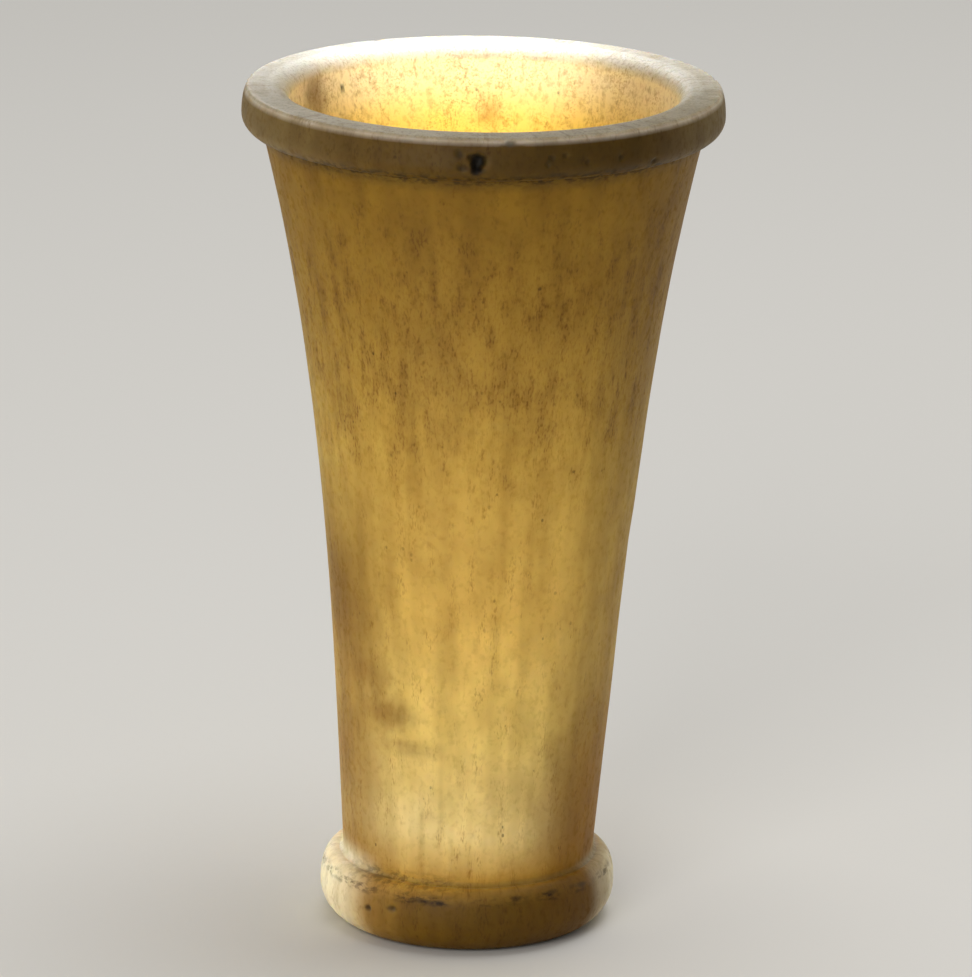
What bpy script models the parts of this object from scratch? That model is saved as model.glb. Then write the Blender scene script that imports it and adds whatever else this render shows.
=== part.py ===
"""Carved alabaster beaker, one stone: everted rim, flared body, rolled foot and a deep drilled cavity.

Metres, +Z up. The origin is the middle of the flat underside, and the rim's middle stands a little to +X.
"""

import math

import bpy
from mathutils import Matrix

# Whole vessel
HEIGHT = 0.1795
RIM_SHIFT = 0.0015

# Rim, a band that bulges out and turns in under to the body
RIM_DIAMETER = 0.1000
RIM_HEIGHT = 0.0094
RIM_WIDEST_DROP = 0.0057
RIM_EDGE_SETBACK = 0.0014
RIM_TOP_WIDTH = 0.0085
MOUTH_EDGE_ROUND = 0.0035

# Body, nearly straight below and flaring towards the neck
NECK_DIAMETER = 0.0918
MIDDLE_DIAMETER = 0.0658
WAIST_DIAMETER = 0.0534
FLARE_POWER = 3.4

# Foot, a roll with a soft shoulder
FOOT_DIAMETER = 0.0624
FOOT_HEIGHT = 0.0143
FOOT_WIDEST_HEIGHT = 0.0076
FOOT_SHOULDER_POWER = 2.3
FOOT_FILLET = 0.0010
BASE_DIAMETER = 0.0490

# Cavity, open at the mouth
NECK_WALL = 0.0068
WAIST_WALL = 0.0076
FLOOR_THICKNESS = 0.0200
CAVITY_FLOOR_ROUND = 0.0100

# Fineness of the turned mesh
TURN_STEPS = 64
BODY_STEPS = 14
WALL_STEPS = 10
ROUND_STEPS = 6
EDGE_STEPS = 3
MERGE_DISTANCE = 0.00001
SHARP_ANGLE = math.radians(35)

# Honey-coloured calcite, polished but worn
STONE_COLOUR = "B8965A"
STONE_ROUGHNESS = 0.42


def linear_colour(hex_colour):
    """Linear RGBA of an sRGB hex colour."""
    channels = [int(hex_colour[i:i + 2], 16) / 255 for i in (0, 2, 4)]
    linear = [c / 12.92 if c <= 0.04045 else ((c + 0.055) / 1.055) ** 2.4 for c in channels]
    return (*linear, 1.0)


def remove_objects():
    """Empty the file before the model is made."""
    for item in list(bpy.data.objects):
        bpy.data.objects.remove(item, do_unlink=True)


def arc(centre, radii, start, end, steps):
    """Points (radius, height) on an upright ellipse, from start to end in degrees, both ends included."""
    points = []
    for step in range(steps + 1):
        angle = math.radians(start + (end - start) * step / steps)
        points.append((centre[0] + radii[0] * math.cos(angle), centre[1] + radii[1] * math.sin(angle)))
    return points


def shoulder(centre, radii, power, steps):
    """Points on a quarter of an upright squarish ellipse, from its top to its widest."""
    points = []
    for step in range(steps + 1):
        angle = math.radians(90 - 90 * step / steps)
        across = max(math.cos(angle), 0) ** (2 / power)
        points.append((centre[0] + radii[0] * across, centre[1] + radii[1] * math.sin(angle) ** (2 / power)))
    return points


def neck_height():
    """Level of the step where the rim's underside meets the body."""
    return HEIGHT - RIM_HEIGHT


def body_radius(z):
    """Outer radius of the body: a straight cone plus a flare that grows towards the neck."""
    waist = WAIST_DIAMETER / 2
    rise = NECK_DIAMETER / 2 - waist
    half_rise = MIDDLE_DIAMETER / 2 - waist
    flare = (rise - 2 * half_rise) / (1 - 2 * 0.5 ** FLARE_POWER)
    t = (z - FOOT_HEIGHT) / (neck_height() - FOOT_HEIGHT)
    return waist + (rise - flare) * t + flare * max(t, 0) ** FLARE_POWER


def wall_thickness(z):
    """Thickness of the wall, measured level, thicker towards the foot."""
    t = (z - FOOT_HEIGHT) / (neck_height() - FOOT_HEIGHT)
    return WAIST_WALL + (NECK_WALL - WAIST_WALL) * t


def mouth_radius():
    """Radius of the opening inside the rim's top and its rounded inner edge."""
    return RIM_DIAMETER / 2 - RIM_EDGE_SETBACK - RIM_TOP_WIDTH


def cavity_radius(z):
    """Radius of the cavity: the wall's inner side, eased into the mouth above the neck."""
    inner = body_radius(z) - wall_thickness(z)
    if z <= neck_height():
        return inner
    ease = ((z - neck_height()) / (HEIGHT - neck_height())) ** 2
    top = body_radius(HEIGHT) - wall_thickness(HEIGHT)
    return inner + (mouth_radius() - top) * ease


def cavity_points():
    """From the middle of the cavity's floor, up the inner wall and over the mouth's edge."""
    bend_height = FLOOR_THICKNESS + CAVITY_FLOOR_ROUND
    bend_radius = min(CAVITY_FLOOR_ROUND, cavity_radius(bend_height))
    bend_centre = (cavity_radius(bend_height) - bend_radius, bend_height)
    points = [(0.0, FLOOR_THICKNESS)]
    points += arc(bend_centre, (bend_radius, CAVITY_FLOOR_ROUND), -90, 0, ROUND_STEPS)
    top = HEIGHT - MOUTH_EDGE_ROUND
    for step in range(1, WALL_STEPS):
        z = bend_height + (top - bend_height) * step / WALL_STEPS
        points.append((cavity_radius(z), z))
    edge_centre = (mouth_radius() + MOUTH_EDGE_ROUND, top)
    points += arc(edge_centre, (MOUTH_EDGE_ROUND, MOUTH_EDGE_ROUND), 180, 90, ROUND_STEPS)
    return points


def rim_points():
    """From the outer edge of the flat top, over the bulge and in under it to the neck."""
    widest_height = HEIGHT - RIM_WIDEST_DROP
    upper_centre = (RIM_DIAMETER / 2 - RIM_EDGE_SETBACK, widest_height)
    upper = arc(upper_centre, (RIM_EDGE_SETBACK, RIM_WIDEST_DROP), 90, 0, ROUND_STEPS)
    lower_centre = (NECK_DIAMETER / 2, widest_height)
    lower_radii = (RIM_DIAMETER / 2 - NECK_DIAMETER / 2, widest_height - neck_height())
    return upper + arc(lower_centre, lower_radii, 0, -90, ROUND_STEPS)[1:]


def body_points():
    """Down the outer side of the body from below the rim to above the foot's fillet."""
    points = []
    top = neck_height()
    bottom = FOOT_HEIGHT + FOOT_FILLET
    for step in range(1, BODY_STEPS + 1):
        z = top + (bottom - top) * step / BODY_STEPS
        points.append((body_radius(z), z))
    return points


def foot_points():
    """From the fillet out over the shoulder, round the roll and in to the flat base."""
    fillet_centre = (WAIST_DIAMETER / 2 + FOOT_FILLET, FOOT_HEIGHT + FOOT_FILLET)
    fillet = arc(fillet_centre, (FOOT_FILLET, FOOT_FILLET), 180, 270, EDGE_STEPS)[1:]
    upper_centre = (fillet_centre[0], FOOT_WIDEST_HEIGHT)
    upper_radii = (FOOT_DIAMETER / 2 - fillet_centre[0], FOOT_HEIGHT - FOOT_WIDEST_HEIGHT)
    upper = shoulder(upper_centre, upper_radii, FOOT_SHOULDER_POWER, ROUND_STEPS)[1:]
    lower_centre = (BASE_DIAMETER / 2, FOOT_WIDEST_HEIGHT)
    lower_radii = (FOOT_DIAMETER / 2 - BASE_DIAMETER / 2, FOOT_WIDEST_HEIGHT)
    lower = arc(lower_centre, lower_radii, 0, -90, ROUND_STEPS)[1:]
    return fillet + upper + lower + [(0.0, 0.0)]


def turned_mesh(name, points):
    """Closed mesh made by turning an open profile once round the Z axis."""
    profile = bpy.data.meshes.new(name + "_profile")
    vertices = [(radius, 0.0, height) for radius, height in points]
    profile.from_pydata(vertices, [(i, i + 1) for i in range(len(points) - 1)], [])
    turned = bpy.data.objects.new(name + "_turned", profile)
    bpy.context.scene.collection.objects.link(turned)
    screw = turned.modifiers.new("Turn", "SCREW")
    screw.axis = "Z"
    screw.steps = TURN_STEPS
    screw.render_steps = TURN_STEPS
    screw.use_merge_vertices = True
    screw.merge_threshold = MERGE_DISTANCE
    graph = bpy.context.evaluated_depsgraph_get()
    mesh = bpy.data.meshes.new_from_object(turned.evaluated_get(graph))
    bpy.data.objects.remove(turned, do_unlink=True)
    return mesh


def stone_material():
    """Translucent-looking honey calcite as a plain surface colour."""
    material = bpy.data.materials.new("alabaster")
    material.use_nodes = True
    shader = material.node_tree.nodes["Principled BSDF"]
    shader.inputs["Base Color"].default_value = linear_colour(STONE_COLOUR)
    shader.inputs["Roughness"].default_value = STONE_ROUGHNESS
    shader.inputs["Metallic"].default_value = 0.0
    return material


def make_beaker(collection):
    """The whole vessel, leaning so that its rim's middle stands to +X of its foot's."""
    mesh = turned_mesh("beaker", cavity_points() + rim_points() + body_points() + foot_points())
    mesh.transform(Matrix.Shear("XY", 4, (RIM_SHIFT / HEIGHT, 0.0)))
    mesh.shade_smooth()
    mesh.set_sharp_from_angle(angle=SHARP_ANGLE)
    mesh.materials.append(stone_material())
    beaker = bpy.data.objects.new("beaker", mesh)
    collection.objects.link(beaker)
    return beaker


def main():
    """Build the object in its own collection."""
    remove_objects()
    collection = bpy.data.collections.new("alabaster_beaker")
    bpy.context.scene.collection.children.link(collection)
    make_beaker(collection)


main()
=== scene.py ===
"""Looks of a carved alabaster beaker: its hand-made marks, its finish, the light and the camera.

Metres unless a comment says otherwise, +Z up, in the frame of the solid part. -Y faces the viewer.
"""

import math

import bmesh
import bpy
from mathutils import Matrix, Vector, noise


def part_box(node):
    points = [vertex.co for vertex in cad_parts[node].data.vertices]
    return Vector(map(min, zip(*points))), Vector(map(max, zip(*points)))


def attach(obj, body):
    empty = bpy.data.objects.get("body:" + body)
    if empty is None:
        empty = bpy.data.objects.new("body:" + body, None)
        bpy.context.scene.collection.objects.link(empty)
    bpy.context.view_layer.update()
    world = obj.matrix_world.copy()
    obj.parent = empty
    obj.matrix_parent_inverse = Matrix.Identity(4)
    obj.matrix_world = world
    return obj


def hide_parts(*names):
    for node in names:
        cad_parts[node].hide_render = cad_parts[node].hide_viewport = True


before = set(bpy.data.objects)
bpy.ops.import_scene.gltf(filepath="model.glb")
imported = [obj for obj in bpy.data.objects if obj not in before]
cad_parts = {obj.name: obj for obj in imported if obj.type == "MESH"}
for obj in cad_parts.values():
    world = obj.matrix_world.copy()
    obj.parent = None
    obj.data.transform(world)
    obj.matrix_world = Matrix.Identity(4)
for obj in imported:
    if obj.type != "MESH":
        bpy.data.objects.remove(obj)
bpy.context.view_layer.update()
MM_PER_METRE = 1000

# Whole vessel, from the frame
BOX_LOW, BOX_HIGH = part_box("beaker")
HEIGHT = BOX_HIGH.z
RIM_DIAMETER = BOX_HIGH.y - BOX_LOW.y

# The rim's middle stands a little to +X of the foot's, and the body bows the same way half way up
RIM_SHIFT = 0.0015
BODY_BOW = 0.0007

# Rim, a band that bulges out and turns in under to the body
RIM_HEIGHT = 0.0094
RIM_WIDEST_DROP = 0.0057
RIM_EDGE_SETBACK = 0.0014
RIM_TOP_WIDTH = 0.0085
MOUTH_EDGE_ROUND = 0.0035

# Body, nearly straight below and flaring towards the neck
NECK_DIAMETER = 0.0918
MIDDLE_DIAMETER = 0.0658
WAIST_DIAMETER = 0.0534
FLARE_POWER = 3.4

# Foot, a roll with a soft shoulder
FOOT_DIAMETER = 0.0624
FOOT_HEIGHT = 0.0143
FOOT_WIDEST_HEIGHT = 0.0076
FOOT_SHOULDER_POWER = 2.3
FOOT_FILLET = 0.0010
BASE_DIAMETER = 0.0490

# Cavity, open at the mouth
NECK_WALL = 0.0068
WAIST_WALL = 0.0076
FLOOR_THICKNESS = 0.0200
CAVITY_FLOOR_ROUND = 0.0100

# Soft hollows that the tools left: width, upright length and depth. They start above the underside and are
# shallower on the smoother rim and foot
UNEVENNESS = (0.024, 0.050, 0.00035)
SCRAPING = (0.0022, 0.0300, 0.00012)
WORKED_FROM = 0.0005
WORKED_FULL = 0.0045
SMOOTH_SHARE = 0.2

# Upright arrises between scraped flats: azimuth in degrees from the front towards +X at the top and the
# bottom, height of the top and the bottom, and rise
FLAT_REACH = 0.008
ARRISES = (
    (-23.7, -27.5, 0.1690, 0.1300, 0.00030),
    (37.0, 47.0, 0.1450, 0.0500, 0.00035),
    (96.0, 92.0, 0.1620, 0.0900, 0.00030),
    (141.0, 139.0, 0.1500, 0.0450, 0.00030),
    (187.0, 190.0, 0.1650, 0.1050, 0.00035),
    (238.0, 235.0, 0.1450, 0.0600, 0.00030),
    (288.0, 290.0, 0.1600, 0.0800, 0.00030),
)

# Pits: azimuth, height, reach and depth
PIT_FLOOR_SHARE = 0.3
PITS = (
    (-1.2, 0.1750, 0.0018, 0.0013),
    (-1.6, 0.1738, 0.0014, 0.0010),
    (-2.9, 0.1757, 0.0009, 0.0006),
    (-5.6, 0.1765, 0.0011, 0.0004),
    (-4.9, 0.1736, 0.0012, 0.0005),
    (15.9, 0.1755, 0.0008, 0.0004),
    (14.9, 0.1741, 0.0008, 0.0004),
    (19.3, 0.1759, 0.0008, 0.0004),
    (24.7, 0.1742, 0.0008, 0.0004),
    (33.7, 0.1742, 0.0010, 0.0005),
    (44.1, 0.1723, 0.0009, 0.0004),
    (-41.6, 0.0081, 0.0009, 0.0005),
    (-30.2, 0.0092, 0.0010, 0.0004),
    (110.0, 0.1745, 0.0013, 0.0007),
    (171.0, 0.1752, 0.0011, 0.0006),
    (228.0, 0.1738, 0.0010, 0.0005),
    (150.0, 0.0085, 0.0012, 0.0006),
)

# Nicks in the outer edge of the rim's top: azimuth, reach and depth
NICK_DROP = 0.0004
RIM_NICKS = ((5.2, 0.0014, 0.0004), (101.0, 0.0014, 0.0004), (208.0, 0.0014, 0.0003), (262.0, 0.0012, 0.0003))

# Tones from the underside up, as shares of the height: the stone's banding with painted glow and shade in it
# Painted shade on the thick foot, a painted glow low on the thin body, and darker towards the rim
TONES_WITH_PAINTED_GLOW = (
    (0.000, "6C4C06"),
    (0.062, "7C5C16"),
    (0.085, "CBA045"),
    (0.140, "F2DA94"),
    (0.260, "EDD079"),
    (0.420, "E4BE62"),
    (0.600, "CBA64C"),
    (0.780, "A27E2C"),
    (0.930, "8A6716"),
    (0.955, "624912"),
)

# Other colours of the stone and of what stains it, and colours of painted light and shade
# Painted shade: amber and honey on the right side, dark brown on the foot and on the rim's band
PAINTED_SHADE_AMBER = "8C5F00"
SHADED_HONEY = "86620C"
SHADED_FOOT = "3E2A00"
SIDE_GREY = "A8966A"
CLOUD_BROWN = "8C651A"
# Painted glow low on the body's front left and through the foot's roll, and painted light on the foot's left
PAINTED_GLOW_CREAM = "F0DCA0"
PAINTED_ROLL_GLOW = "FBF2D0"
PAINTED_LIGHT_FOOT_HONEY = "B8924A"
STAIN_BROWN = "8A6423"
SPECK_BROWN = "3A2A0C"
PIT_BLACK = "120B01"
# Painted glow of light through the walls, over the cavity's yellow, palest near the mouth
CAVITY_GLOW_YELLOW = "E6C35A"
CAVITY_GLOW_PALE = "FBF1CA"
CAVITY_BROWN = "A8741C"
INNER_BROWN = "7A4E0C"
RIM_GREY = "7F7660"
# Painted highlight on the rim's outer top edge and painted light on the back of its top
RIM_PAINTED_LIGHT = "F4F0E4"
NICK_GREY = "4E493F"

# Shades that multiply the tone below them
CLOUD_SHADE = "B29E6A"
DASH_SHADE = "A9874E"
PORE_SHADE = "504426"
DIRT_SHADE = "6A5E44"
CAVITY_SHADE = "BC995E"
SPECKLE_SHADE = "B8B2A6"

# Zones of the surface: for each measure of a place, where the zone starts and where it is full. The measures
# are z, right, which is 1 at the far right of the beaker, and behind, which is 1 at its back
FOOT_ZONE = ("z", 0.0154, 0.0136)
RIM_ZONE = ("z", 0.1698, 0.1714)
RIGHT_SIDE = ("right", 0.43, 0.94)
RIGHT_FRONT = ("right", -0.73, 0.79)
POROUS_ZONE = (("z", 0.094, 0.122), ("z", 0.168, 0.142))
JOINT_ZONE = (("z", 0.1683, 0.1696), ("z", 0.1724, 0.1706))
FOOT_LINE_ZONE = (("z", 0.0106, 0.0116), ("z", 0.0134, 0.0124))
CREASE_ZONE = (("z", 0.0124, 0.0142), ("z", 0.0168, 0.0150))
DIRTY_CREASE = (("right", 0.12, -0.43), ("right", -0.95, -0.70))
CLEAN_CREASE_SHARE = 0.2
MOUTH_ZONE = (("z", 0.162, 0.1765),)
RIM_BACK = (("behind", -0.43, 0.73),)

# Kinds of surface that the finish tells apart, each a share from 0 to 1 at every point
KINDS = ("cavity", "rim_top", "outside", "porous", "joint", "crease", "foot_line")
RIM_TOP_SHARPNESS = 5.0

# Washes over the outer side's tone, from the first laid to the last: strength, colour and zone
# All but the brown on the lower left are painted light and shade
LIGHT_SHADE_AND_STAIN_WASHES = (
    # Painted shade, darker and more amber towards the right and along the arris on the right
    (0.35, SHADED_HONEY, (RIGHT_SIDE,)),
    (0.92, PAINTED_SHADE_AMBER, (RIGHT_SIDE, ("z", 0.090, 0.025))),
    (0.12, SHADED_HONEY, (("right", 0.60, 0.68),)),
    (0.45, PAINTED_SHADE_AMBER, (("right", 0.15, 0.70), ("z", 0.056, 0.030))),
    (0.78, CLOUD_BROWN, (("right", -0.42, -0.86), ("z", 0.112, 0.072))),
    # Painted shade on the foot, deeper towards the right, and painted light on its left
    (0.65, SHADED_FOOT, (FOOT_ZONE, RIGHT_FRONT)),
    (0.60, PAINTED_LIGHT_FOOT_HONEY, (FOOT_ZONE, ("right", -0.30, -0.90))),
    # Painted glow of light through the foot's roll at its left and right
    (0.85, PAINTED_ROLL_GLOW, (("z", 0.020, 0.013), ("right", -0.62, -0.98))),
    (0.60, PAINTED_ROLL_GLOW, (("z", 0.017, 0.012), ("right", 0.82, 1.0))),
    # Painted shade on the rim's band, deeper towards the right; the band is greyer and lighter at its left
    # and right
    (0.75, SHADED_FOOT, (RIM_ZONE, RIGHT_FRONT)),
    (0.30, SIDE_GREY, (RIM_ZONE, ("right", -0.36, -0.97))),
    (0.30, SIDE_GREY, (RIM_ZONE, ("right", 0.61, 1.0))),
    # Painted highlight along the rim's outer top edge
    (0.40, RIM_PAINTED_LIGHT, (("z", 0.1779, 0.1789),)),
)
MOUTH_GLOW = 0.70
RIM_TOP_WASH = 0.90

# Stains and spots, and a painted glow: azimuth, height, reach in mm along X, Y and Z, softness, strength,
# colour
OUTER_STAINS_AND_GLOW = (
    (-38.0, 0.0510, (11.0, 11.0, 6.0), 1.0, 0.75, STAIN_BROWN),
    (-26.0, 0.0440, (10.0, 10.0, 3.0), 1.0, 0.50, STAIN_BROWN),
    (-46.0, 0.0590, (9.0, 9.0, 6.0), 1.0, 0.55, STAIN_BROWN),
    (-66.0, 0.0730, (9.0, 12.0, 20.0), 1.0, 0.70, STAIN_BROWN),
    (-72.0, 0.0400, (9.0, 12.0, 16.0), 1.0, 0.75, STAIN_BROWN),
    # Painted glow low on the front left
    (-22.0, 0.0290, (9.0, 9.0, 8.0), 1.0, 0.45, PAINTED_GLOW_CREAM),
    (-1.2, 0.1751, (2.1, 3.4, 2.2), 0.5, 1.00, PIT_BLACK),
    (-1.4, 0.1735, (1.9, 3.2, 2.0), 0.5, 1.00, PIT_BLACK),
    (-3.0, 0.1757, (1.0, 1.0, 1.0), 0.6, 0.80, SPECK_BROWN),
    (-5.6, 0.1762, (1.6, 1.6, 1.6), 0.9, 0.70, SPECK_BROWN),
    (-4.9, 0.1734, (1.8, 1.8, 1.4), 0.9, 0.70, SPECK_BROWN),
    (15.5, 0.1750, (1.2, 1.2, 1.5), 0.9, 0.60, SPECK_BROWN),
    (24.7, 0.1742, (1.0, 1.0, 0.9), 0.9, 0.60, SPECK_BROWN),
    (33.7, 0.1742, (1.0, 1.0, 1.0), 0.8, 0.70, SPECK_BROWN),
    (44.1, 0.1723, (2.2, 2.2, 0.8), 0.8, 0.65, SPECK_BROWN),
    (18.0, 0.1718, (3.4, 3.4, 0.7), 0.8, 0.65, SPECK_BROWN),
    (6.5, 0.1785, (1.8, 1.8, 0.9), 0.7, 0.70, NICK_GREY),
    (-41.6, 0.0081, (1.3, 1.3, 0.9), 0.7, 0.75, SPECK_BROWN),
    (-30.2, 0.0092, (1.9, 1.9, 0.9), 0.8, 0.75, SPECK_BROWN),
    (-18.4, 0.0118, (2.6, 2.6, 0.8), 0.8, 0.70, SPECK_BROWN),
    (-10.7, 0.0118, (1.9, 1.9, 0.8), 0.8, 0.70, SPECK_BROWN),
    (20.1, 0.0124, (1.8, 1.8, 0.7), 0.8, 0.70, SPECK_BROWN),
    (35.7, 0.0125, (2.0, 2.0, 0.7), 0.8, 0.75, SPECK_BROWN),
    (52.6, 0.0123, (2.2, 2.2, 0.8), 0.8, 0.75, SPECK_BROWN),
)
INNER_STAINS = (
    (-117.0, 0.1725, (8.0, 7.0, 8.0), 0.8, 0.65, INNER_BROWN),
    (-131.5, 0.1727, (0.9, 0.9, 0.9), 0.6, 0.90, PIT_BLACK),
    (178.0, 0.1650, (4.5, 4.0, 5.0), 1.0, 0.55, CAVITY_BROWN),
    (182.0, 0.1770, (9.0, 5.0, 0.8), 0.7, 0.70, STAIN_BROWN),
    (163.0, 0.1770, (7.0, 5.0, 0.7), 0.7, 0.70, STAIN_BROWN),
)

# Their frayed edges: size of the fraying, its depth as a share of the reach, and how its finer parts fade.
# No stain reaches past the limit, in times its reach
RAGGED_SIZE = 0.0018
RAGGED_DEPTH = 0.16
RAGGED_FADE = 0.8
RAGGED_STEP = 2.0
RAGGED_OCTAVES = 3
STAIN_LIMIT = 1.5

# Grain of the stone: whether it runs along the flare, its size in mm along X, Y and Z, its detail, and the
# noise levels between which it grows
GRAINS = (
    ("clouds", False, (6.0, 6.0, 9.0), 2.0, 0.34, 0.70),
    ("bands", True, (4.0, 4.0, 45.0), 1.0, 0.42, 0.70),
    ("clumps", True, (2.4, 2.4, 9.0), 2.0, 0.49, 0.66),
    ("dashes", True, (0.38, 0.38, 1.2), 1.0, 0.50, 0.72),
    ("mottle", False, (1.3, 1.3, 1.7), 2.0, 0.50, 0.70),
    ("breaks", False, (1.8, 1.8, 0.9), 2.0, 0.44, 0.60),
    ("speckle", False, (0.5, 0.5, 0.5), 1.0, 0.50, 0.66),
)
GRAIN_ROUGHNESS = 0.6

# Open pores: spacing and largest radius in mm, the share of the places that has one, and the share of the
# radius over which its edge fades
PORE_SPACING = (1.8, 1.8, 2.4)
PORE_RADIUS = 0.40
PORE_SHARE = 0.6
PORE_SOFTNESS = 0.4

# What is laid over the tone, from the first to the last: the masks that are multiplied, strength and shade
LAYERS = (
    (("outside", "clouds"), 0.32, CLOUD_SHADE),
    (("outside", "bands"), 0.28, CLOUD_SHADE),
    (("porous", "clumps"), 0.30, DASH_SHADE),
    (("dashes", "clumps"), 0.50, DASH_SHADE),
    (("porous", "dashes"), 0.30, DASH_SHADE),
    (("pores", "clumps"), 0.60, PORE_SHADE),
    (("mottle",), 0.20, CLOUD_SHADE),
    (("joint", "breaks"), 0.90, DIRT_SHADE),
    (("crease", "breaks"), 0.50, DIRT_SHADE),
    (("foot_line", "breaks", "clouds"), 1.00, DIRT_SHADE),
    (("cavity", "mottle"), 0.28, CAVITY_SHADE),
    (("cavity", "speckle", "clouds"), 0.55, CAVITY_SHADE),
    (("rim_top", "speckle"), 0.45, SPECKLE_SHADE),
)

# Satin skin: roughness on clean and on mottled stone, and its fine unevenness, in waves to a metre
ROUGHNESS_CLEAN = 0.52
ROUGHNESS_MOTTLED = 0.72
SKIN_WAVES = 900.0
SKIN_DETAIL = 1.0
SKIN_STRENGTH = 0.3
SKIN_DEPTH = 0.0001
STONE_IOR = 1.5
STONE_SPECULAR = 0.15

# Light that enters the stone: how far it spreads in red, green and blue
SPREAD_COLOURS = (1.0, 0.68, 0.32)
SPREAD_DEPTH = 0.005

# Fineness of the turned mesh, and of what is cut finer round pits, nicks and small spots of a reach in mm
TURN_STEPS = 320
BODY_STEPS = 100
WALL_STEPS = 62
ROUND_STEPS = 10
SHOULDER_STEPS = 14
EDGE_STEPS = 4
FLAT_STEPS = 5
FINE_REACH = 2.0
FINE_CUTS = 2
CUT_MARGIN = 0.0006
MERGE_DISTANCE = 0.00001
SHARP_ANGLE = math.radians(40)

# The camera of the photograph: its place and angles, fitted to the outline
CAMERA_PLACE = (0.000745, -1.400, 0.4905)
CAMERA_DOWN = math.radians(15.845)
CAMERA_ASIDE = math.radians(0.093)
CAMERA_ROLL = math.radians(0.783)
CAMERA_LENS = 256.09

# Floor and background
FLOOR_RADIUS = 9.0
FLOOR_CORNERS = 96
FLOOR_COLOUR = "E2E0DB"
FLOOR_ROUGHNESS = 0.9
BACKGROUND_COLOUR = "E6E4E0"
BACKGROUND_STRENGTH = 0.35

# Lamps: place, aim, size, power, cone in degrees or none for a square lamp, and whether only the stone is lit
LAMPS = (
    ("far_wall", (-0.03, -0.35, 0.60), (-0.004, 0.048, 0.178), 0.01, 20.0, 8.0, True),
    ("mouth", (0.0, -0.10, 1.0), (0.0, 0.02, 0.16), 0.01, 16.0, 3.6, True),
    ("foot_left", (-0.42, 0.12, 0.11), (-0.028, 0.0, 0.008), 0.06, 60.0, 5.0, True),
    ("foot_right", (0.42, 0.18, 0.11), (0.031, 0.0, 0.008), 0.06, 28.0, 3.8, True),
    ("behind", (-0.15, 0.60, 0.45), (0.0, 0.0, 0.17), 0.15, 1.2, None, True),
    ("low_front", (-0.30, -0.60, 0.10), (0.0, 0.0, 0.03), 0.20, 1.2, None, True),
    ("front_left", (-0.5, -1.4, 0.9), (0.0, 0.0, 0.08), 0.8, 8.0, None, False),
    ("overhead", (0.3, 0.3, 1.8), (0.0, 0.0, 0.0), 1.5, 20.0, None, False),
)
CONE_BLEND = 0.8


def arc(centre, radii, start, end, steps):
    """Points (radius, height) on an upright ellipse, from start to end in degrees, both ends included."""
    points = []
    for step in range(steps + 1):
        angle = math.radians(start + (end - start) * step / steps)
        points.append((centre[0] + radii[0] * math.cos(angle), centre[1] + radii[1] * math.sin(angle)))
    return points


def line(start, end, steps):
    """Points on a straight stretch, without its first one."""
    points = []
    for step in range(1, steps + 1):
        share = step / steps
        points.append((start[0] + (end[0] - start[0]) * share, start[1] + (end[1] - start[1]) * share))
    return points


def shoulder(centre, radii, power, steps):
    """Points on a quarter of an upright squarish ellipse, from its top to its widest."""
    points = []
    for step in range(steps + 1):
        angle = math.radians(90 - 90 * step / steps)
        across = max(math.cos(angle), 0) ** (2 / power)
        points.append((centre[0] + radii[0] * across, centre[1] + radii[1] * math.sin(angle) ** (2 / power)))
    return points


def neck_height():
    """Level of the step where the rim's underside meets the body."""
    return HEIGHT - RIM_HEIGHT


def body_radius(z):
    """Outer radius of the body: a straight cone plus a flare that grows towards the neck."""
    waist = WAIST_DIAMETER / 2
    rise = NECK_DIAMETER / 2 - waist
    half_rise = MIDDLE_DIAMETER / 2 - waist
    flare = (rise - 2 * half_rise) / (1 - 2 * 0.5 ** FLARE_POWER)
    t = (z - FOOT_HEIGHT) / (neck_height() - FOOT_HEIGHT)
    return waist + (rise - flare) * t + flare * max(t, 0) ** FLARE_POWER


def wall_thickness(z):
    """Thickness of the wall, measured level, thicker towards the foot."""
    t = (z - FOOT_HEIGHT) / (neck_height() - FOOT_HEIGHT)
    return WAIST_WALL + (NECK_WALL - WAIST_WALL) * t


def mouth_radius():
    """Radius of the opening inside the rim's top and its rounded inner edge."""
    return RIM_DIAMETER / 2 - RIM_EDGE_SETBACK - RIM_TOP_WIDTH


def cavity_radius(z):
    """Radius of the cavity: the wall's inner side, eased into the mouth above the neck."""
    inner = body_radius(z) - wall_thickness(z)
    if z <= neck_height():
        return inner
    share = ((z - neck_height()) / (HEIGHT - neck_height())) ** 2
    top = body_radius(HEIGHT) - wall_thickness(HEIGHT)
    return inner + (mouth_radius() - top) * share


def outer_radius(z):
    """Radius of the outer side at a height, rim and foot included."""
    widest_height = HEIGHT - RIM_WIDEST_DROP
    if z >= widest_height:
        share = (z - widest_height) / RIM_WIDEST_DROP
        return RIM_DIAMETER / 2 - RIM_EDGE_SETBACK * (1 - math.sqrt(1 - share ** 2))
    if z >= neck_height():
        share = (widest_height - z) / (widest_height - neck_height())
        return NECK_DIAMETER / 2 + (RIM_DIAMETER - NECK_DIAMETER) / 2 * math.sqrt(1 - share ** 2)
    if z >= FOOT_HEIGHT:
        return body_radius(z)
    if z >= FOOT_WIDEST_HEIGHT:
        share = (z - FOOT_WIDEST_HEIGHT) / (FOOT_HEIGHT - FOOT_WIDEST_HEIGHT)
        inner = WAIST_DIAMETER / 2 + FOOT_FILLET
        across = (1 - share ** FOOT_SHOULDER_POWER) ** (1 / FOOT_SHOULDER_POWER)
        return inner + (FOOT_DIAMETER / 2 - inner) * across
    return FOOT_DIAMETER / 2


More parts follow.
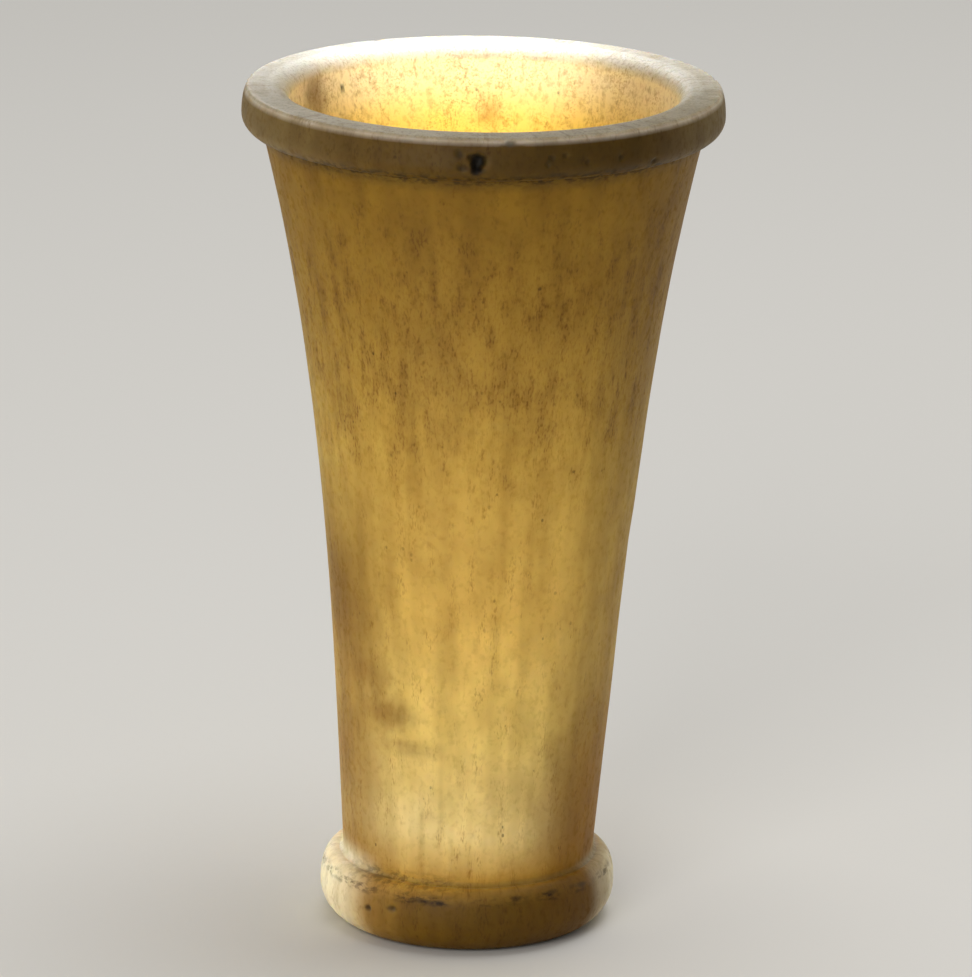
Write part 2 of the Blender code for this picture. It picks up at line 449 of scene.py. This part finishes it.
def cavity_points():
    """From the middle of the cavity's floor, up the inner wall and over the mouth's edge."""
    bend_height = FLOOR_THICKNESS + CAVITY_FLOOR_ROUND
    bend_radius = min(CAVITY_FLOOR_ROUND, cavity_radius(bend_height))
    bend_centre = (cavity_radius(bend_height) - bend_radius, bend_height)
    bend = arc(bend_centre, (bend_radius, CAVITY_FLOOR_ROUND), -90, 0, ROUND_STEPS)
    points = [(0.0, FLOOR_THICKNESS)]
    points += line(points[0], bend[0], FLAT_STEPS)
    points += bend[1:]
    top = HEIGHT - MOUTH_EDGE_ROUND
    for step in range(1, WALL_STEPS):
        z = bend_height + (top - bend_height) * step / WALL_STEPS
        points.append((cavity_radius(z), z))
    edge_centre = (mouth_radius() + MOUTH_EDGE_ROUND, top)
    points += arc(edge_centre, (MOUTH_EDGE_ROUND, MOUTH_EDGE_ROUND), 180, 90, ROUND_STEPS)
    return points


def rim_points():
    """Out over the flat top, over the bulge and in under it to the neck."""
    widest_height = HEIGHT - RIM_WIDEST_DROP
    upper_centre = (RIM_DIAMETER / 2 - RIM_EDGE_SETBACK, widest_height)
    upper = arc(upper_centre, (RIM_EDGE_SETBACK, RIM_WIDEST_DROP), 90, 0, ROUND_STEPS)
    lower_centre = (NECK_DIAMETER / 2, widest_height)
    lower_radii = (RIM_DIAMETER / 2 - NECK_DIAMETER / 2, widest_height - neck_height())
    flat = line((mouth_radius() + MOUTH_EDGE_ROUND, HEIGHT), upper[0], FLAT_STEPS)
    return flat + upper[1:] + arc(lower_centre, lower_radii, 0, -90, ROUND_STEPS)[1:]


def body_points():
    """Down the outer side of the body from below the rim to above the foot's fillet."""
    points = []
    top = neck_height()
    bottom = FOOT_HEIGHT + FOOT_FILLET
    for step in range(1, BODY_STEPS + 1):
        z = top + (bottom - top) * step / BODY_STEPS
        points.append((body_radius(z), z))
    return points


def foot_points():
    """From the fillet out over the shoulder, round the roll and in to the flat base."""
    fillet_centre = (WAIST_DIAMETER / 2 + FOOT_FILLET, FOOT_HEIGHT + FOOT_FILLET)
    fillet = arc(fillet_centre, (FOOT_FILLET, FOOT_FILLET), 180, 270, EDGE_STEPS)[1:]
    upper_centre = (fillet_centre[0], FOOT_WIDEST_HEIGHT)
    upper_radii = (FOOT_DIAMETER / 2 - fillet_centre[0], FOOT_HEIGHT - FOOT_WIDEST_HEIGHT)
    upper = shoulder(upper_centre, upper_radii, FOOT_SHOULDER_POWER, SHOULDER_STEPS)[1:]
    lower_centre = (BASE_DIAMETER / 2, FOOT_WIDEST_HEIGHT)
    lower_radii = (FOOT_DIAMETER / 2 - BASE_DIAMETER / 2, FOOT_WIDEST_HEIGHT)
    lower = arc(lower_centre, lower_radii, 0, -90, ROUND_STEPS)[1:]
    return fillet + upper + lower + line(lower[-1], (0.0, 0.0), FLAT_STEPS)


def turn_stone(name, points):
    """Draw the profile as a chain of vertices and spin it once round the Z axis."""
    bpy.ops.object.select_all(action="DESELECT")
    bpy.ops.mesh.primitive_plane_add(size=MERGE_DISTANCE, location=(points[0][0], 0, points[0][1]))
    stone = bpy.context.object
    stone.name = name
    stone.data.name = name
    bpy.ops.object.transform_apply(location=True, rotation=True, scale=True)
    bpy.ops.object.mode_set(mode="EDIT")
    bpy.ops.mesh.select_all(action="SELECT")
    bpy.ops.mesh.merge(type="CENTER")
    for last, point in zip(points, points[1:]):
        step = (point[0] - last[0], 0, point[1] - last[1])
        bpy.ops.mesh.extrude_vertices_move(TRANSFORM_OT_translate={"value": step})
    bpy.ops.mesh.select_all(action="SELECT")
    bpy.ops.mesh.spin(steps=TURN_STEPS, angle=math.tau, center=(0, 0, 0), axis=(0, 0, 1))
    bpy.ops.mesh.select_all(action="SELECT")
    bpy.ops.mesh.remove_doubles(threshold=MERGE_DISTANCE)
    bpy.ops.mesh.normals_make_consistent(inside=False)
    bpy.ops.object.mode_set(mode="OBJECT")
    return stone


def axis_shift(z):
    """How far the vessel's middle stands to +X at a height: its lean and its bow."""
    t = z / HEIGHT
    return RIM_SHIFT * t + BODY_BOW * (4 * t * (1 - t)) ** 2


def surface_point(azimuth, z, radius):
    """A place by its azimuth in degrees, from the front towards +X, its height and its radius."""
    angle = math.radians(azimuth)
    return Vector((axis_shift(z) + radius * math.sin(angle), -radius * math.cos(angle), z))


def lean_and_bow(stone):
    """Lean the vessel towards +X from foot to rim and bow its middle the same way."""
    for vertex in stone.data.vertices:
        vertex.co.x += axis_shift(vertex.co.z)


def ease(value, start, end):
    """0 before the start and 1 past the end, which may lie below the start, with a soft change between."""
    share = min(max((value - start) / (end - start), 0.0), 1.0)
    return share * share * (3 - 2 * share)


def in_zone(measures, zone):
    """How far a place lies in a zone, from 0 to 1."""
    return math.prod(ease(measures[name], start, end) for name, start, end in zone)


def group_worked(stone):
    """What the tools left uneven: the body, less so the smoother rim and foot, and not the underside."""
    group = stone.vertex_groups.new(name="worked")
    for vertex in stone.data.vertices:
        z = vertex.co.z
        weight = min((z - WORKED_FROM) / (WORKED_FULL - WORKED_FROM), 1.0)
        if z < FOOT_HEIGHT or z > neck_height():
            weight = min(weight, SMOOTH_SHARE)
        if weight > 0:
            group.add([vertex.index], weight, "REPLACE")


def roughen(stone, name, width, length, depth):
    """Wear the surface down by up to a depth, in soft hollows of that width, and that length upright."""
    texture = bpy.data.textures.new(name, "CLOUDS")
    texture.noise_scale = width
    texture.noise_depth = 1
    guide = bpy.data.objects.new(name, None)
    bpy.context.scene.collection.objects.link(guide)
    guide.scale = (1, 1, length / width)
    bpy.context.view_layer.update()
    wear = stone.modifiers.new(name, "DISPLACE")
    wear.texture = texture
    wear.texture_coords = "OBJECT"
    wear.texture_coords_object = guide
    wear.vertex_group = "worked"
    wear.mid_level = 1.0
    wear.strength = depth
    bpy.ops.object.modifier_apply(modifier=name)
    bpy.data.objects.remove(guide, do_unlink=True)


def raise_arrises(stone):
    """Soft upright edges between the flats that the scraper left."""
    half_step = math.pi / TURN_STEPS
    for azimuth_high, azimuth_low, high, low, rise in ARRISES:
        bpy.ops.mesh.select_all(action="DESELECT")
        mesh = bmesh.from_edit_mesh(stone.data)
        for vertex in mesh.verts:
            x, y, z = vertex.co
            if not low < z < high or math.hypot(x, y) < body_radius(z) - wall_thickness(z) / 2:
                continue
            share = (z - low) / (high - low)
            azimuth = math.radians(azimuth_low + (azimuth_high - azimuth_low) * share)
            gap = (math.atan2(x - axis_shift(z), -y) - azimuth + math.pi) % math.tau - math.pi
            if abs(gap) <= half_step:
                vertex.select = True
        mesh.select_flush(True)
        bmesh.update_edit_mesh(stone.data)
        outward = surface_point((azimuth_high + azimuth_low) / 2, 0.0, 1.0)
        bpy.ops.transform.translate(
            value=outward * rise,
            use_proportional_edit=True,
            proportional_edit_falloff="LINEAR",
            proportional_size=FLAT_REACH,
            use_proportional_connected=True,
        )


def nick_place(azimuth):
    """A place on the rounded outer edge of the rim's top."""
    return surface_point(azimuth, HEIGHT - NICK_DROP, RIM_DIAMETER / 2 - RIM_EDGE_SETBACK / 2)


def cut_finer(stone):
    """Divide the faces round every pit, nick and small spot once, so that they come out crisp."""
    spots = [(surface_point(azimuth, z, outer_radius(z)), reach) for azimuth, z, reach, _ in PITS]
    spots += [(nick_place(azimuth), reach) for azimuth, reach, _ in RIM_NICKS]
    for azimuth, z, reach, *_ in OUTER_STAINS_AND_GLOW:
        if reach[2] < FINE_REACH:
            spots.append((surface_point(azimuth, z, outer_radius(z)), max(reach) / MM_PER_METRE))
    for azimuth, z, reach, *_ in INNER_STAINS:
        if max(reach) < FINE_REACH:
            spots.append((surface_point(azimuth, z, cavity_radius(z)), max(reach) / MM_PER_METRE))
    bpy.ops.mesh.select_all(action="DESELECT")
    mesh = bmesh.from_edit_mesh(stone.data)
    for vertex in mesh.verts:
        if any((vertex.co - place).length < reach + CUT_MARGIN for place, reach in spots):
            vertex.select = True
    mesh.select_flush(True)
    bmesh.update_edit_mesh(stone.data)
    bpy.ops.mesh.subdivide(number_cuts=FINE_CUTS, ngon=False)


def select_near(stone, place, reach):
    """In edit mode, select the vertices within reach of a place, and the nearest one in any case."""
    bpy.ops.mesh.select_all(action="DESELECT")
    mesh = bmesh.from_edit_mesh(stone.data)
    nearest = min(mesh.verts, key=lambda vertex: (vertex.co - place).length_squared)
    nearest.select = True
    for vertex in mesh.verts:
        if (vertex.co - place).length < reach:
            vertex.select = True
    mesh.select_flush(True)
    bmesh.update_edit_mesh(stone.data)


def press_pit(stone, place, inward, reach, depth):
    """Press a round pit into the stone, with soft walls."""
    select_near(stone, place, reach * PIT_FLOOR_SHARE)
    bpy.ops.transform.translate(
        value=inward * depth,
        use_proportional_edit=True,
        proportional_edit_falloff="SMOOTH",
        proportional_size=reach,
        use_proportional_connected=True,
    )


def press_pits(stone):
    """The pits, pressed level into the side, and the nicks, pressed in and down."""
    for azimuth, z, reach, depth in PITS:
        place = surface_point(azimuth, z, outer_radius(z))
        inward = surface_point(azimuth + 180, z, 1.0) - surface_point(azimuth, z, 0.0)
        press_pit(stone, place, inward.normalized(), reach, depth)
    for azimuth, reach, depth in RIM_NICKS:
        inward = surface_point(azimuth + 180, HEIGHT, 1.0) - surface_point(azimuth, HEIGHT, 0.0)
        inward = inward.normalized() - Vector((0, 0, 1))
        press_pit(stone, nick_place(azimuth), inward.normalized(), reach, depth)


def hex_colour(code):
    """Linear RGBA of an sRGB hex colour."""
    channels = [int(code[i:i + 2], 16) / 255 for i in (0, 2, 4)]
    linear = [c / 12.92 if c <= 0.04045 else ((c + 0.055) / 1.055) ** 2.4 for c in channels]
    return (*linear, 1.0)


def tone_with_glow_at(level):
    """The colour at a share of the height: the stone's banding with painted glow and shade in it."""
    for (low, below), (high, above) in zip(TONES_WITH_PAINTED_GLOW, TONES_WITH_PAINTED_GLOW[1:]):
        if level <= high:
            share = (level - low) / (high - low)
            return [b + (a - b) * share for b, a in zip(hex_colour(below), hex_colour(above))]
    return list(hex_colour(TONES_WITH_PAINTED_GLOW[-1][1]))


def lay(tone, amount, code):
    """Lay a share of a colour over a tone."""
    if amount > 0:
        tone[:] = [below + (over - below) * amount for below, over in zip(tone, hex_colour(code))]


def lay_stains_and_glow(tone, place, frayed, stains, share):
    """Lay the stains and any painted glow that reach a place over its tone, their edges frayed."""
    for centre, reach, softness, strength, code in stains:
        gap = MM_PER_METRE * (place - centre)
        if abs(gap.z) > reach[2] * STAIN_LIMIT:
            continue
        away = math.hypot(gap.x / reach[0], gap.y / reach[1], gap.z / reach[2])
        lay(tone, share * strength * ease(away + frayed, 1.0, 1.0 - softness), code)


def placed(stains, radius_at):
    """The stains, and any painted glow, of one side with their centres."""
    return [(surface_point(azimuth, z, radius_at(z)), *rest) for azimuth, z, *rest in stains]


def kinds_at(measures, inside):
    """How far a place belongs to each kind of surface."""
    drop = min((HEIGHT - measures["z"]) / MOUTH_EDGE_ROUND, 1.0)
    dirt = CLEAN_CREASE_SHARE + (1 - CLEAN_CREASE_SHARE) * in_zone(measures, DIRTY_CREASE)
    return {
        "cavity": drop if inside else 0.0,
        "rim_top": 1.0 - drop if inside else max(1.0 - drop * RIM_TOP_SHARPNESS, 0.0),
        "outside": 0.0 if inside else 1.0,
        "porous": (not inside) * in_zone(measures, POROUS_ZONE),
        "joint": (not inside) * in_zone(measures, JOINT_ZONE),
        "crease": in_zone(measures, CREASE_ZONE) * dirt,
        "foot_line": in_zone(measures, FOOT_LINE_ZONE),
    }


def paint_stone(stone):
    """Give each point its tone, with painted light and shade, and how far it belongs to each kind of surface.
    """
    mesh = stone.data
    mesh.attributes.new("tone", "FLOAT_COLOR", "POINT")
    for name in KINDS:
        mesh.attributes.new(name, "FLOAT", "POINT")
    outer_stains_and_glow = placed(OUTER_STAINS_AND_GLOW, outer_radius)
    inner_stains = placed(INNER_STAINS, cavity_radius)
    for index, vertex in enumerate(mesh.vertices):
        place = vertex.co
        z = place.z
        aside = place.x - axis_shift(z)
        radius = max(math.hypot(aside, place.y), MERGE_DISTANCE)
        inside = z > FLOOR_THICKNESS / 2 and radius < body_radius(z) - wall_thickness(z) / 2
        measures = {"z": z, "right": aside / radius, "behind": place.y / radius}
        share = kinds_at(measures, inside)
        tone = tone_with_glow_at(z / HEIGHT)
        for strength, code, zone in LIGHT_SHADE_AND_STAIN_WASHES:
            lay(tone, strength * in_zone(measures, zone), code)
        fray = noise.fractal(place / RAGGED_SIZE, RAGGED_FADE, RAGGED_STEP, RAGGED_OCTAVES)
        frayed = RAGGED_DEPTH * fray
        lay_stains_and_glow(tone, place, frayed, outer_stains_and_glow, 1.0 - share["cavity"])
        # Painted glow of light through the walls over the cavity, palest near the mouth
        lay(tone, share["cavity"], CAVITY_GLOW_YELLOW)
        lay(tone, MOUTH_GLOW * share["cavity"] * in_zone(measures, MOUTH_ZONE), CAVITY_GLOW_PALE)
        lay_stains_and_glow(tone, place, frayed, inner_stains, share["cavity"])
        # The rim's top in grey, with painted light on its back
        lay(tone, RIM_TOP_WASH * share["rim_top"], RIM_GREY)
        lay(tone, RIM_TOP_WASH * share["rim_top"] * in_zone(measures, RIM_BACK), RIM_PAINTED_LIGHT)
        mesh.attributes["tone"].data[index].color = tone
        for name, value in share.items():
            mesh.attributes[name].data[index].value = value


def make_stone():
    """Turn the vessel, then work its surface by hand."""
    points = cavity_points() + rim_points() + body_points() + foot_points()
    stone = turn_stone("beaker_stone", points)
    lean_and_bow(stone)
    group_worked(stone)
    roughen(stone, "unevenness", *UNEVENNESS)
    roughen(stone, "scraping", *SCRAPING)
    bpy.ops.object.mode_set(mode="EDIT")
    raise_arrises(stone)
    cut_finer(stone)
    press_pits(stone)
    bpy.ops.object.mode_set(mode="OBJECT")
    paint_stone(stone)
    bpy.ops.object.shade_smooth_by_angle(angle=SHARP_ANGLE)
    return stone


def add_node(tree, kind, settings=None, values=None, links=None):
    """Add a node, set its settings and the values of its sockets, and link its inputs."""
    node = tree.nodes.new(kind)
    for name, setting in (settings or {}).items():
        setattr(node, name, setting)
    for socket, value in (values or {}).items():
        node.inputs[socket].default_value = value
    for socket, source in (links or {}).items():
        tree.links.new(source, node.inputs[socket])
    return node


def grain(tree, places, size, detail, low, high):
    """A mask of soft grain, its size in mm along each axis of the places."""
    scale = {"Scale": [1 / length for length in size]}
    mapped = add_node(tree, "ShaderNodeMapping", None, scale, {"Vector": places}).outputs[0]
    values = {"Scale": 1.0, "Detail": detail, "Roughness": GRAIN_ROUGHNESS}
    level = add_node(tree, "ShaderNodeTexNoise", None, values, {"Vector": mapped}).outputs["Fac"]
    limits = {"From Min": low, "From Max": high}
    return add_node(tree, "ShaderNodeMapRange", None, limits, {"Value": level}).outputs["Result"]


def pores(tree, places):
    """A mask of open pores, each round in its own cell, of chance sizes."""
    scale = {"Scale": [1 / length for length in PORE_SPACING]}
    mapped = add_node(tree, "ShaderNodeMapping", None, scale, {"Vector": places}).outputs[0]
    cells = add_node(tree, "ShaderNodeTexVoronoi", None, {"Scale": 1.0}, {"Vector": mapped})
    chance = add_node(tree, "ShaderNodeSeparateColor", None, None, {"Color": cells.outputs["Color"]})
    largest = PORE_RADIUS / PORE_SPACING[0]
    limits = {"From Min": 1 - PORE_SHARE, "From Max": 1.0, "To Max": largest}
    size = add_node(tree, "ShaderNodeMapRange", None, limits, {"Value": chance.outputs[0]})
    depth_links = {0: size.outputs[0], 1: cells.outputs["Distance"]}
    depth = add_node(tree, "ShaderNodeMath", {"operation": "SUBTRACT"}, None, depth_links).outputs[0]
    softened = {"operation": "DIVIDE", "use_clamp": True}
    return add_node(tree, "ShaderNodeMath", softened, {1: PORE_SOFTNESS * largest}, {0: depth}).outputs[0]


def along_flare(tree, in_mm):
    """Places brought out or in to the body's middle radius, so that marks run along the flare."""
    flat = add_node(tree, "ShaderNodeVectorMath", {"operation": "MULTIPLY"}, {1: (1, 1, 0)}, {0: in_mm})
    outward = add_node(tree, "ShaderNodeVectorMath", {"operation": "NORMALIZE"}, None, {0: flat.outputs[0]})
    middle = {"Scale": MIDDLE_DIAMETER / 2 * MM_PER_METRE}
    around = add_node(tree, "ShaderNodeVectorMath", {"operation": "SCALE"}, middle, {0: outward.outputs[0]})
    upward = add_node(tree, "ShaderNodeVectorMath", {"operation": "MULTIPLY"}, {1: (0, 0, 1)}, {0: in_mm})
    links = {0: around.outputs[0], 1: upward.outputs[0]}
    return add_node(tree, "ShaderNodeVectorMath", {"operation": "ADD"}, None, links).outputs[0]


def alabaster():
    """Travertine alabaster, drilled, scraped upright and rubbed to a satin polish, now worn and stained.

    It glows where light comes through, with rows of fine upright pores and dashes, soft clouds and dirt.
    """
    # Its tone carries painted glow, highlight and shade
    material = bpy.data.materials.new("alabaster_rubbed")
    material.use_nodes = True
    tree = material.node_tree
    shader = tree.nodes["Principled BSDF"]
    place = add_node(tree, "ShaderNodeTexCoord").outputs["Object"]
    to_mm = {"Scale": MM_PER_METRE}
    in_mm = add_node(tree, "ShaderNodeVectorMath", {"operation": "SCALE"}, to_mm, {0: place}).outputs[0]
    turned = along_flare(tree, in_mm)

    masks = {"pores": pores(tree, turned)}
    for name in KINDS:
        masks[name] = add_node(tree, "ShaderNodeAttribute", {"attribute_name": name}).outputs["Fac"]
    for name, follows_flare, *values in GRAINS:
        masks[name] = grain(tree, turned if follows_flare else in_mm, *values)

    # A colour mix has its factor in socket 0, the colour below in 6 and the one over it in 7
    colour = add_node(tree, "ShaderNodeAttribute", {"attribute_name": "tone"}).outputs["Color"]
    times = {"operation": "MULTIPLY"}
    shading = {"data_type": "RGBA", "blend_type": "MULTIPLY"}
    for (first, *others), strength, shade in LAYERS:
        amount = add_node(tree, "ShaderNodeMath", times, {1: strength}, {0: masks[first]}).outputs[0]
        for name in others:
            amount = add_node(tree, "ShaderNodeMath", times, None, {0: amount, 1: masks[name]}).outputs[0]
        links = {0: amount, 6: colour}
        colour = add_node(tree, "ShaderNodeMix", shading, {7: hex_colour(shade)}, links).outputs[2]
    tree.links.new(colour, shader.inputs["Base Color"])

    limits = {"To Min": ROUGHNESS_CLEAN, "To Max": ROUGHNESS_MOTTLED}
    dull = add_node(tree, "ShaderNodeMapRange", None, limits, {"Value": masks["mottle"]}).outputs[0]
    tree.links.new(dull, shader.inputs["Roughness"])
    waves = {"Scale": SKIN_WAVES, "Detail": SKIN_DETAIL}
    skin = add_node(tree, "ShaderNodeTexNoise", None, waves, {"Vector": place}).outputs["Fac"]
    relief = {"Strength": SKIN_STRENGTH, "Distance": SKIN_DEPTH}
    bump = add_node(tree, "ShaderNodeBump", None, relief, {"Height": skin})
    tree.links.new(bump.outputs["Normal"], shader.inputs["Normal"])
    shader.inputs["IOR"].default_value = STONE_IOR
    shader.inputs["Specular IOR Level"].default_value = STONE_SPECULAR
    shader.inputs["Subsurface Weight"].default_value = 1.0
    shader.inputs["Subsurface Radius"].default_value = SPREAD_COLOURS
    shader.inputs["Subsurface Scale"].default_value = SPREAD_DEPTH
    return material


def make_camera():
    """A long lens looking slightly down, as in the photograph."""
    camera = bpy.data.objects.new("camera", bpy.data.cameras.new("camera"))
    bpy.context.scene.collection.objects.link(camera)
    turn = Matrix.Rotation(-CAMERA_ASIDE, 4, "Z") @ Matrix.Rotation(math.pi / 2 - CAMERA_DOWN, 4, "X")
    camera.matrix_world = Matrix.Translation(CAMERA_PLACE) @ turn @ Matrix.Rotation(CAMERA_ROLL, 4, "Z")
    camera.data.lens = CAMERA_LENS
    bpy.context.scene.camera = camera


def make_lamp(name, place, aim, size, power, cone, receivers):
    """A soft white lamp that the camera doesn't see: a square one, or a round one with a cone."""
    lamp = bpy.data.objects.new(name, bpy.data.lights.new(name, "SPOT" if cone else "AREA"))
    bpy.context.scene.collection.objects.link(lamp)
    if cone:
        lamp.data.spot_size = math.radians(cone)
        lamp.data.spot_blend = CONE_BLEND
        lamp.data.shadow_soft_size = size
    else:
        lamp.data.size = size
    lamp.data.energy = power
    lamp.location = place
    lamp.rotation_euler = (Vector(aim) - Vector(place)).to_track_quat("-Z", "Y").to_euler()
    lamp.visible_camera = False
    if receivers is not None:
        lamp.light_linking.receiver_collection = receivers


def make_lamps(stone):
    """Soft studio light, and lamps on the stone alone for the glow of light that comes through it."""
    only_stone = bpy.data.collections.new("only_stone")
    only_stone.objects.link(stone)
    for *values, on_stone_only in LAMPS:
        make_lamp(*values, only_stone if on_stone_only else None)


def make_stage():
    """A plain pale floor that runs out to a pale background."""
    bpy.ops.object.select_all(action="DESELECT")
    bpy.ops.mesh.primitive_circle_add(
        vertices=FLOOR_CORNERS, radius=FLOOR_RADIUS, fill_type="NGON", location=(0, 0, 0)
    )
    floor = bpy.context.object
    floor.name = "floor"
    paper = bpy.data.materials.new("studio_paper")
    paper.use_nodes = True
    shader = paper.node_tree.nodes["Principled BSDF"]
    shader.inputs["Base Color"].default_value = hex_colour(FLOOR_COLOUR)
    shader.inputs["Roughness"].default_value = FLOOR_ROUGHNESS
    floor.data.materials.append(paper)
    world = bpy.data.worlds.new("studio")
    bpy.context.scene.world = world
    world.use_nodes = True
    background = world.node_tree.nodes["Background"]
    background.inputs["Color"].default_value = hex_colour(BACKGROUND_COLOUR)
    background.inputs["Strength"].default_value = BACKGROUND_STRENGTH


stone = make_stone()
stone.data.materials.append(alabaster())
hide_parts("beaker")
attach(stone, "root")

make_camera()
make_stage()
make_lamps(stone)
bpy.context.scene.view_settings.view_transform = "Standard"
